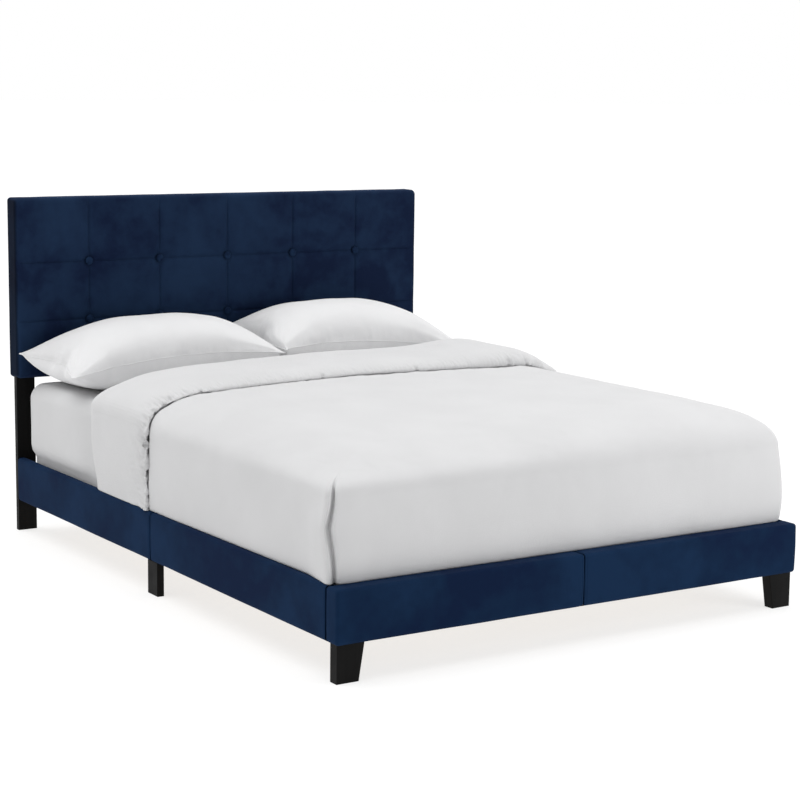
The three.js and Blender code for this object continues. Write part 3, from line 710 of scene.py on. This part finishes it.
def make_fitted_sheet(cotton):
    """One cloth over the mattress, open below, looser where the duvet leaves it bare."""
    low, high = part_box("fitted_sheet")
    axes = (lines(low[a], high[a], SHEET_ROUNDING, 0.02, turns=6) for a in range(3))
    points, faces = box_grid(*axes, skip=("z-",))
    base = Vector((low.x, low.y, low.z - 0.2))
    shaped, normal = round_off(points, base, high, SHEET_ROUNDING)
    side = 1 - np.abs(normal[:, 2])
    down = (high.z - points[:, 2]) / (high.z - low.z)
    folds = 0.0022 * noise_at(points * np.array([1.0, 1.0, 0.22]), 17.0, 5.0) * down
    soft = 0.0014 * noise_at(points, 4.5, 6.0)
    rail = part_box("rail_left_cover_head")[1].z
    above = smooth(points[:, 2], rail + 0.004, rail + 0.05)
    bare = smooth(points[:, 1], *SHEET_BARE)
    bulge = 0.020 * above * bare * np.abs(normal[:, 0]) ** 2
    shaped += normal * (side * (folds - 0.001) + soft + bulge)[:, None]
    shaped[:, 2] += 0.007 * bare * smooth(normal[:, 2], 0.2, 0.9)
    piece = new_piece(
        "fitted_sheet_cloth", shaped, faces, cotton, "white_linen", "mattress", ["fitted_sheet"])


def duvet_room():
    """The hollow under the duvet: half its width, its foot end and its ceiling."""
    sheet_low, sheet_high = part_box("fitted_sheet")
    return sheet_high.x + 0.002, sheet_low.y - 0.002, sheet_high.z + 0.0008


def duvet_grid(half, foot, seam, bottom):
    """The duvet's grid: dense at the foot corners, along the hem and at the seam."""
    corner = [half - 0.0014 * k for k in range(1, 26)]
    xs = lines(-half, half, SHOULDER, 0.014, corner + [-c for c in corner], 14)
    at_foot = [foot + 0.003 * k for k in range(1, 12)]
    at_seam = [seam + d for d in DUVET_SEAM_STEPS]
    ys = lines(foot, seam + UNDERLAP, (SHOULDER, 0.02), 0.014, at_foot + at_seam, 14)
    hem = [bottom + d for d in DUVET_HEM_STEPS]
    zs = lines(bottom - SHOULDER_DROP, DUVET_TOP, SHOULDER_DROP, 0.011, hem, 14)
    zs = np.concatenate(([bottom], zs[zs > bottom + 0.001]))
    return box_grid(xs, ys, zs, skip=("z-", "y+"))


def sag_and_belly(shaped, out, part, half, bottom):
    """Lets the duvet sag toward the foot and bulge at its sides, and draws its foot corners in."""
    x, y, z = shaped.T
    rise = smooth(part[:, 2], 0.0, 1.0)
    height = np.clip((z - bottom) / (DUVET_TOP - SHOULDER_DROP - bottom), 0, 1)
    belly = np.sin(np.pi * (0.12 + 0.88 * height) ** 0.8)
    on_foot = smooth(-out[:, 1], 0.3, 0.9)
    on_side = smooth(np.abs(out[:, 0]), 0.3, 0.9)
    # sag toward the foot, more on the left, and a low crown across
    sag = 0.030 * smooth(-x, -0.55, 0.5) * smooth(-y, 0.3, 1.0)
    shaped[:, 2] -= rise * (sag + crown_at(x, half))
    shaped += out * (on_foot * 0.016 * belly + on_side * 0.004 * belly)[:, None]
    shaped -= out * (0.002 * np.exp(-((z - bottom) / 0.004)) * (1 - rise))[:, None]
    shaped[:, 0] *= 1 - np.where(x < 0, 0.010, 0.007) * smooth(-y, 0.0, 1.0)
    # the left foot corner stands out, a little more at mid height
    bow = 0.009 + 0.006 * bell(z - 0.41, 0.05)
    shaped[:, 0] -= bow * smooth(-y, 0.86, 1.0) * smooth(-x, 0.5, 0.72)


def fold_pleats(shaped, out, part):
    """Folds a pleat down each foot corner: one lip stands over a narrow valley."""
    x, _, z = shaped.T
    turn = np.where(part[:, 1] < -1e-6, np.arctan2(np.abs(part[:, 1]), np.abs(part[:, 0])), 0)
    line = np.radians(np.where(x < 0, PLEAT_TURN["left"], PLEAT_TURN["right"]))
    offset = turn - (line + np.interp(z, *PLEAT_LINE))
    corner = smooth(-out[:, 1], 0.02, 0.2) * smooth(np.abs(out[:, 0]), 0.02, 0.2)
    deep = smooth(-z, -PLEAT_TOP, 0.05 - PLEAT_TOP) * corner
    wide = np.interp(z, *PLEAT_WIDTH)
    valley = np.where(offset < 0, bell(offset, 0.010), bell(offset, wide))
    shaped -= out * (deep * PLEAT_DEPTH * valley)[:, None]
    lips = bell(offset + 0.07, 0.05) + 0.6 * bell(offset - 0.20, 0.1)
    shaped += out * (deep * 0.0055 * lips)[:, None]


def ripple(shaped, out, grid, seam, half):
    """Adds soft waves, and an edge that gathers and dives under the turned-back layer."""
    x, y, z = shaped.T
    waves = 0.0042 * noise_at(grid, 2.6, 8.0) + 0.0022 * noise_at(grid * (1, 0.55, 1), 7.0, 9.0)
    waves += 0.0009 * noise_at(grid * (1.6, 0.7, 1), 16.0, 10.0)
    near = np.exp(-np.abs(y - seam) / 0.04)
    gathers = 0.0018 * noise_at(np.stack([x, y * 0.25, z], 1), 48.0, 11.0) * near
    flank = smooth(np.abs(out[:, 0]), 0.5, 0.95)
    dive = 0.032 * smooth(y, seam - 0.001 - 0.006 * flank, seam + 0.012 - 0.004 * flank)
    shaped += out * (waves + gathers - dive)[:, None]
    shaped[:, 1] += seam_wander(shaped, half) * np.exp(-np.abs(y - seam) / 0.5)


def make_duvet(cotton):
    """The duvet's single layer, from the foot to just under the turned-back part."""
    low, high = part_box("duvet")
    seam = low.y + SEAM_FROM_FOOT
    bottom = low.z + 0.0006
    half = high.x - 0.003
    foot = low.y - 0.001
    end = seam + UNDERLAP
    grid, faces = duvet_grid(half, foot, seam, bottom)
    base = np.array((-half, foot, bottom - SHOULDER_DROP))
    roof = np.array((half, end, DUVET_TOP))
    radii = (SHOULDER, SHOULDER, SHOULDER_DROP)
    shaped, out, part = puff(grid, base, roof, radii, (SHOULDER, 0.0001, SHOULDER_DROP), 18)
    sag_and_belly(shaped, out, part, half, bottom)
    fold_pleats(shaped, out, part)
    ripple(shaped, out, grid, seam, half)
    # the inner skin is the same grid, squeezed round the mattress
    room_half, room_foot, room_top = duvet_room()
    room_low = np.array((-room_half, room_foot, bottom - SHOULDER_DROP))
    room_high = np.array((room_half, end, room_top))
    squeezed = room_low + (grid - base) / (roof - base) * (room_high - room_low)
    squeezed[:, 2] = np.maximum(squeezed[:, 2], bottom)
    inner, _, _ = puff(squeezed, room_low, room_high, (0.02, 0.02, 0.02), (0.02, 0.0001, 0.02), 3)
    inner[:, 2] = np.maximum(inner[:, 2], bottom)
    points, faces = shell(shaped, inner, faces)
    piece = new_piece("duvet_body", points, faces, cotton, "white_linen", "duvet", ["duvet"])
    make_turnback(cotton, seam, half, bottom)


def spline(knots, count):
    """A smooth curve through the knots, sampled evenly by knot."""
    knots = np.array(knots, float)
    padded = np.concatenate([[2 * knots[0] - knots[1]], knots, [2 * knots[-1] - knots[-2]]])
    samples = []
    for at in np.linspace(0, len(knots) - 1, count):
        k = min(int(at), len(knots) - 2)
        t = at - k
        a, b, c, d = padded[k:k + 4]
        samples.append(0.5 * (2 * b + (c - a) * t + (2 * a - 5 * b + 4 * c - d) * t ** 2
                              + (3 * b - a - 3 * c + d) * t ** 3))
    return samples


def seam_wander(points, half):
    """How far the turned-back edge lies from straight: it runs toward the foot at the sides."""
    places, shifts = zip(*SEAM_PATH)
    return np.interp(np.abs(points[:, 0]) / half, places, shifts)


def crown_at(x, half):
    """How far the top lies below its middle line."""
    return np.where(x < 0, CROWN["left"], CROWN["right"]) * (np.abs(x) / half) ** 2


def arch(half, top, radius, drop, ground, crowned=False, turns=26):
    """A line over the bed from the left rail to the right one, as (x, z) points."""
    path = [(-half, ground), (-half, (ground + top - drop) / 2), (-half, top - drop)]
    for k in range(1, turns):
        angle = math.pi / 2 * k / turns
        path.append((-half + radius * (1 - math.cos(angle)), top - drop + drop * math.sin(angle)))
    path = np.array(path + [(-half + radius, top)])
    path = np.concatenate([path, [(0, top)], path[::-1] * (-1, 1)])
    if crowned:
        path[:, 1] -= crown_at(path[:, 0], half) * smooth(path[:, 1], top - drop, top)
    return path


def resample(path, count):
    """Spaces a line's points evenly; returns them with their normals."""
    lengths = np.concatenate([[0], np.cumsum(np.linalg.norm(np.diff(path, axis=0), axis=1))])
    at = np.linspace(0, lengths[-1], count)
    even = np.stack([np.interp(at, lengths, path[:, k]) for k in range(2)], 1)
    slope = np.gradient(even, axis=0)
    normal = np.stack([-slope[:, 1], slope[:, 0]], 1)
    return even, normal / np.linalg.norm(normal, axis=1, keepdims=True)


def turnback_rows(seam, end, bottom, outer, normal, depth):
    """The turned-back layer in rows, each a distance along the bed and a level over the layer
    under it: round the rolled edge, over the crest, down the head edge and back underneath.

    Returns the rows, how many of them show, and the share of side and of height at each point."""
    upward = smooth(normal[:, 1], 0.1, 0.95)
    side = 1 - upward
    height = np.clip((outer[:, 1] - bottom) / (DUVET_TOP - bottom), 0, 1)
    crest = TURNBACK_FLANK + (TURNBACK_TOP - DUVET_TOP - TURNBACK_FLANK) * upward
    crest += upward * (0.018 * bell(outer[:, 0] - 0.56, 0.17)
                       - 0.012 * bell(outer[:, 0] + 0.62, 0.12))
    crest = crest * (0.6 + 0.4 * smooth(height, 0.0, 0.25))
    finish = end - 0.02 * side - 0.035 * side * smooth(1 - height, 0.5, 1.0)
    finish = finish - 0.03 * bell(np.abs(outer[:, 0]) - 0.70, 0.07) * upward
    rows = []
    seam_turns, crest_steps, head_turns = 26, 34, 16
    edge = spline(ROLLED_EDGE, seam_turns + 1)
    for offset, level, share in edge[:-1]:
        lift = level * (1 + 1.6 * side * (level > 0))
        rows.append((seam + offset - 0.002 * side, lift + share * crest))
    start = edge[-1][0]
    turned = finish - (0.11 - 0.05 * side)
    for k in range(crest_steps):
        rows.append((seam + start + (turned - seam - start) * k / crest_steps, crest))
    lowest = 0.006 - depth
    for k in range(head_turns + 1):
        angle = math.pi / 2 * k / head_turns
        place = finish - (finish - turned) * (1 - math.sin(angle))
        rows.append((place, lowest + (crest - lowest) * math.cos(angle)))
    visible = len(rows) - 1
    under = seam + UNDERLAP + 0.006
    for share in (0.995, 0.97, 0.6, 0.3, 0):
        rows.append((under + (finish - under) * share, THIN - depth))
    rows.append((under - 0.001, -np.minimum(0.034, 0.95 * depth)))
    rows.append((seam + 0.02, -np.minimum(0.033, 0.95 * depth)))
    return rows, visible, side, height


def turnback_relief(points, seam, half, side, height, travel):
    """How far the turned-back layer's surface stands out, and how its edge zigzags."""
    x, y, z = points.T
    to_seam = np.clip(y - seam, 0, None)
    level = 0 * z
    # gathers that run back from the seam, strongest round the shoulder and down the side
    shoulder = 0.3 + 0.7 * smooth(np.abs(x), half - 0.34, half - 0.04)
    fan = np.stack([travel - 0.5 * to_seam * side, to_seam * 0.22, level], 1)
    fade = np.exp(-(to_seam / 0.04) ** 1.5) * (1 - 0.5 * np.exp(-to_seam / 0.004))
    small = 0.5 - np.abs(noise_at(fan, 120.0, 12.0)) - np.abs(noise_at(fan * (1, 2.2, 1), 64.0, 18.0))
    gathers = shoulder * fade * (0.0092 * small + 0.0080 * noise_at(fan, 31.0, 13.0))
    for place in TUCKS:
        gathers -= 0.008 * np.exp(-((x - place) / 0.007) ** 2 - (to_seam / 0.007) ** 2) * (z > 0.5)
    # drag lines that fall away from the seam down the side
    drag_at = np.stack([to_seam * 1.3 - z * 0.9, z * 0.16, level], 1)
    creases = 0.45 - 1.6 * np.abs(noise_at(drag_at, 30.0, 14.0)) + 0.6 * noise_at(drag_at, 62.0, 19.0)
    drag = 0.0145 * creases * side * np.exp(-to_seam / 0.05) * smooth(1 - height, 0.02, 0.4)
    waves = 0.004 * noise_at(points, 3.0, 15.0) + 0.0016 * noise_at(points * (1, 0.6, 1), 11.0, 16.0)
    zigzag = 0.0062 * noise_at(np.stack([travel, level, level], 1), 26.0, 24.0) * np.exp(-to_seam / 0.02)
    return gathers + drag + waves, zigzag * shoulder


def make_turnback(cotton, seam, half, bottom):
    """The part of the duvet that is turned back over the rest, toward the foot."""
    room_half, _, room_top = duvet_room()
    count = TURNBACK_COUNT
    outer, normal = resample(arch(half, DUVET_TOP, SHOULDER, SHOULDER_DROP, bottom, True), count)
    inner, _ = resample(arch(room_half, room_top, 0.02, 0.02, bottom), count)
    depth = np.linalg.norm(outer - inner, axis=1)
    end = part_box("duvet")[1].y
    rows, visible, side, height = turnback_rows(seam, end, bottom, outer, normal, depth)
    ring = len(rows)
    grid = np.empty((ring, count, 3))
    for row, (place, level) in zip(grid, rows):
        level = np.maximum(level, -0.97 * depth)
        toward = np.where(level[:, None] < 0, (inner - outer) / np.maximum(depth, 1e-6)[:, None], normal)
        row[:, [0, 2]] = outer + toward * np.abs(level)[:, None]
        row[:, 1] = place
    points = grid.reshape(-1, 3)
    out = np.cross(np.gradient(grid, axis=1), np.gradient(grid, axis=0))
    out /= np.maximum(np.linalg.norm(out, axis=2, keepdims=True), 1e-9)
    shown = np.repeat(np.arange(ring) < visible, count)
    travel = np.tile(np.arange(count) * 0.0028, ring)
    relief, zigzag = turnback_relief(points, seam, half, np.tile(side, ring), np.tile(height, ring), travel)
    points = points + out.reshape(-1, 3) * (shown * relief)[:, None]
    points[:, 1] += shown * zigzag
    points[:, 1] += seam_wander(points, half) * np.exp(-np.abs(points[:, 1] - seam) / 0.5)
    points[:, 2] = np.maximum(points[:, 2], bottom)
    faces = []
    for r in range(ring):
        below, above = r * count, ((r + 1) % ring) * count
        faces += [(below + c, above + c, above + c + 1, below + c + 1) for c in range(count - 1)]
    faces.append([r * count for r in reversed(range(ring))])
    faces.append([r * count + count - 1 for r in range(ring)])
    piece = new_piece("duvet_turnback", points, faces, cotton, "white_linen", "duvet", None)


def flat_case(nx, ny, width, depth, seed):
    """Two rectangles of cloth that share their edge, laid almost flat.

    Returns the points, the quads, and the edge's points, one after another."""
    thickness, ease = 0.012, 6
    points, faces, index = [], [], {}

    def key(i, j, layer):
        return (i, j) if i in (0, nx) or j in (0, ny) else (i, j, layer)

    for layer, sign in enumerate((-1, 1)):
        for i in range(nx + 1):
            for j in range(ny + 1):
                spot = key(i, j, layer)
                if spot in index:
                    continue
                index[spot] = len(points)
                x, y = (i / nx - 0.5) * width, (j / ny - 0.5) * depth
                lift = sign * thickness * min(1.0, min(i, nx - i, j, ny - j) / ease)
                wobble = 0.002 * noise.noise(Vector((x * 9 + seed, y * 9, sign * 2.0)))
                points.append((x, y, lift + wobble if len(spot) == 3 else 0))
    for layer in (0, 1):
        for i in range(nx):
            for j in range(ny):
                square = ((i, j), (i + 1, j), (i + 1, j + 1), (i, j + 1))
                quad = [index[key(a, b, layer)] for a, b in square]
                faces.append(quad if layer else quad[::-1])
    edge = [(0, j) for j in range(ny)] + [(i, ny) for i in range(nx)]
    edge += [(nx, j) for j in range(ny, 0, -1)] + [(i, 0) for i in range(nx, 0, -1)]
    return points, faces, [index[spot] for spot in edge]


def simulate_pillow(width, depth):
    """Blows a flat case up with air, as cloth.

    Returns its points, quads, the sewn edge's points in order, and each point's place in the
    flat case, from -1 to 1."""
    nx, ny, frames = ((90, 60, 36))
    points, faces, loop = flat_case(nx, ny, width, depth, 1.0)
    mesh = bpy.data.meshes.new("pillow_form")
    mesh.from_pydata(points, [], faces)
    plan = np.array([(p[0] / width * 2, p[1] / depth * 2) for p in points])
    piece = add("pillow_form", mesh)
    scene = bpy.context.scene
    modifier = piece.modifiers.new("air", "CLOTH")
    for setting, value in CLOTH.items():
        setattr(modifier.settings, setting, value)
    modifier.settings.effector_weights.gravity = 0
    modifier.collision_settings.use_collision = False
    modifier.point_cache.frame_start = 1
    modifier.point_cache.frame_end = 60
    for number in range(1, frames):
        scene.frame_set(number)
    evaluated = piece.evaluated_get(bpy.context.evaluated_depsgraph_get())
    settled = np.array([tuple(v.co) for v in evaluated.to_mesh().vertices])
    evaluated.to_mesh_clear()
    bpy.data.objects.remove(piece)
    scene.frame_set(1)
    return settled, faces, loop, plan


def relax(points, faces, rounds, fixed):
    """Evens out small buckles: each loose point moves toward the mean of its neighbours."""
    here, there = np.array([(f[k], f[(k + 1) % 4]) for f in faces for k in range(4)]).T
    size = len(points)
    count = np.bincount(here, minlength=size) + np.bincount(there, minlength=size)
    for _ in range(rounds):
        total = np.zeros_like(points)
        for axis in range(3):
            total[:, axis] = np.bincount(here, points[there, axis], size)
            total[:, axis] += np.bincount(there, points[here, axis], size)
        mean = total / count[:, None]
        points = np.where(fixed[:, None], points, 0.5 * points + 0.5 * mean)
    return points


def even_rim(points, loop, rounds):
    """Takes the zigzag out of the sewn edge."""
    for _ in range(rounds):
        ring = points[loop]
        points[loop] = 0.5 * ring + 0.25 * (np.roll(ring, 1, 0) + np.roll(ring, -1, 0))
    return points


def outward(points, faces):
    """A unit normal at each point of a mesh of quads."""
    quads = np.array(faces)
    cross = np.cross(points[quads[:, 2]] - points[quads[:, 0]], points[quads[:, 3]] - points[quads[:, 1]])
    total = np.zeros_like(points)
    for corner in range(4):
        for axis in range(3):
            total[:, axis] += np.bincount(quads[:, corner], cross[:, axis], len(points))
    return total / np.maximum(np.linalg.norm(total, axis=1, keepdims=True), 1e-12)


def pillow_folds(plan, skin, rim, lower, side):
    """How far the case stands out: puckers along the sewn edge, and folds from the corners."""
    spot = np.stack([skin[:, 0], skin[:, 1], np.where(lower, -0.3, 0.3)], 1)
    to_edge = (1 - np.abs(plan)) * (0.40, 0.23)
    inward = np.min(to_edge, axis=1)
    pucker = (0.4 - 1.5 * np.abs(noise_at(spot, 38.0, 20.0 + side))) * np.exp(-inward / 0.030)
    reach = np.linalg.norm(to_edge, axis=1)
    turn = np.arctan2(to_edge[:, 1], to_edge[:, 0])
    rays = np.stack([turn * 3.4, np.sign(plan[:, 0]) * 3 + reach * 2.0, np.sign(plan[:, 1]) * 5 + lower], 1)
    drawn = noise_at(rays, 1.7, 23.0 + side) * np.exp(-reach / 0.15) * smooth(reach, 0.01, 0.06)
    soft = noise_at(spot * (1.0, 0.5, 1.0), 9.0, 25.0 + side)
    return ~rim * smooth(inward, 0.0, 0.012) * (0.0045 * pucker + 0.0090 * drawn + 0.0035 * soft)


def stuff_pillow(form, name, side, bed):
    """The filled case in metres: X and Y from its own middle, Z above the floor."""
    settled, faces, loop, plan = form
    rim = np.zeros(len(settled), bool)
    rim[loop] = True
    points = relax(even_rim(settled.copy(), loop, 6), faces, 20, rim)
    size = points.max(0) - points.min(0)
    points -= (points.max(0) + points.min(0)) / 2
    across, deep = points[:, 0] / size[0] * 2, points[:, 1] / size[1] * 2
    lower = points[:, 2] < 0
    blown = np.abs(points[:, 2]) / np.max(np.abs(points[:, 2]))
    crowned = (1 - np.abs(plan[:, 0]) ** 2.8) ** 0.75 * (1 - plan[:, 1] ** 2) ** 0.85
    thick = 0.3 * blown + 0.7 * np.clip(crowned, 0, 1)
    # the height of the sewn edge: low at the outer front corner, pushed up by the duvet in front
    front_edge = 0.590 + 0.044 * (1 - (np.abs(across + 0.45) / 1.45) ** 1.7)
    back_edge = 0.655 - 0.036 * smooth(across, 0.2, 1.0)
    share = (1 - deep) / 2
    edge = share * front_edge + (1 - share) * back_edge
    above = edge + PILLOW_CREST[name] * thick
    below = edge - (edge - bed - 0.001) * thick ** (0.4 + 0.6 * smooth(np.abs(across), 0.6, 1.0))
    z = np.where(rim, edge, np.where(points[:, 2] > 0, above, below))
    # the lower panel bulges past the sewn edge
    past = 1 + 0.05 * np.sin(np.pi * np.clip(thick / 0.7, 0, 1)) * lower * ~rim
    half = np.array(PILLOW_HALF)
    skin = np.stack([across * past * half[0], deep * (1 + 1.7 * (past - 1)) * half[1], z], 1)
    skin += outward(skin, faces) * pillow_folds(plan, skin, rim, lower, side)[:, None]
    return skin


def pressed(gap):
    """Keeps a distance to a wall above nought, with a soft landing."""
    return np.where(gap < PILLOW_SOFT, PILLOW_SOFT + PILLOW_SOFT * np.tanh(gap / PILLOW_SOFT - 1), gap)


def make_pillow(name, side, cotton, form):
    """One pillow: it flattens where it rests, leans on the headboard and meets its neighbour."""
    node = f"pillow_{name}"
    low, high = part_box(node)
    _, faces, loop, _ = form
    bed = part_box("fitted_sheet")[1].z + 0.002
    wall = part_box("headboard_cover")[0].y - 0.004
    x, y, z = stuff_pillow(form, name, side, bed).T
    x = side * x + (low.x + high.x) / 2
    y = wall - 0.225 + y
    z = z + PILLOW_LIFT[name]
    z = bed + pressed(z - bed)
    y = wall - pressed(wall - y)
    between = (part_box("pillow_left")[1].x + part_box("pillow_right")[0].x) / 2
    meet = between + side * 0.0015 - 0.10 * (y - 0.78)
    points = np.stack([meet + side * pressed(side * (x - meet)), y, z], 1)
    quads = faces if side > 0 else [f[::-1] for f in faces]
    piece = new_piece(f"{node}_case", points, quads, cotton, "white_linen", node, [node])
    level = piece.modifiers.new("smooth", "SUBSURF")
    level.levels = level.render_levels = 1
    # the sewn edge stands up as a thin bead
    new_piece(f"{node}_seam", *tube(points[loop], PILLOW_SEAM), cotton, "white_linen", node, None)


def tube(path, radius, sides=8):
    """A closed tube along a closed path."""
    after, before = np.roll(path, -1, 0), np.roll(path, 1, 0)
    along = after - before
    along /= np.linalg.norm(along, axis=1, keepdims=True)
    level = np.cross(along, (0, 0, 1))
    level /= np.linalg.norm(level, axis=1, keepdims=True)
    upright = np.cross(level, along)
    points = []
    for k in range(sides):
        angle = 2 * math.pi * k / sides
        points.append(path + radius * (math.cos(angle) * level + math.sin(angle) * upright))
    count = len(path)
    points = np.stack(points, 1).reshape(-1, 3)
    faces = []
    for i in range(count):
        j = (i + 1) % count
        faces += [(i * sides + k, j * sides + k, j * sides + (k + 1) % sides, i * sides + (k + 1) % sides)
                  for k in range(sides)]
    return points, faces


# ---- put it together
def dress_cad_nodes():
    """Better materials on the CAD pieces that are shown as they are."""
    lacquer = lacquer_material()
    steel = steel_material()
    cross_wood = wood_material("timber_across", TIMBER, 0)
    long_wood = wood_material("timber_along", TIMBER, 1)
    special = {
        "headboard_panel": wood_material("plywood_face", PLYWOOD, 0),
        "headboard_back": lining_material(),
        "head_crossbar": lacquer,
    }
    for name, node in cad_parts.items():
        if node.hide_render:
            continue
        if name in special:
            material = special[name]
        elif "leg" in name:
            material = lacquer
        elif "bracket" in name or "hanger" in name:
            material = steel
        elif name.startswith(("rail_", "ledger", "centre_beam")):
            material = long_wood
        else:
            material = cross_wood
        node.data.materials.clear()
        node.data.materials.append(material)


def main():
    make_camera()
    make_sky()
    make_lights()
    make_floor()
    navy = velvet_material("navy_velvet", NAVY)
    button = velvet_material("button_velvet", BUTTON_NAVY, patch_scale=40)
    cotton = cotton_material("white_cotton", DUVET_WHITE)
    # the headboard's sides are darkened with painted shade
    board = velvet_material("headboard_velvet", HEADBOARD_NAVY, painted_side_shade=0.3)
    make_headboard(board, button)
    for name, side in SIDES:
        make_padded_bar(f"rail_{name}_wrap_foot", f"rail_{name}_cover_foot", navy, 1, 1, True)
        make_padded_bar(f"rail_{name}_wrap_head", f"rail_{name}_cover_head", navy, -1, 1, True)
        make_padded_bar(f"footboard_wrap_{name}", f"footboard_cover_{name}", navy, -side, 0, False)
    make_mattress(ticking_material())
    make_fitted_sheet(cotton)
    make_duvet(cotton)
    form = simulate_pillow(*PILLOW_CUT)
    # the pillows' brighter white is painted light
    pillow_cotton = cotton_material("pillow_cotton", PILLOW_WHITE_PAINTED_LIGHT)
    for name, side in SIDES:
        make_pillow(name, side, pillow_cotton, form)
    dress_cad_nodes()


main()
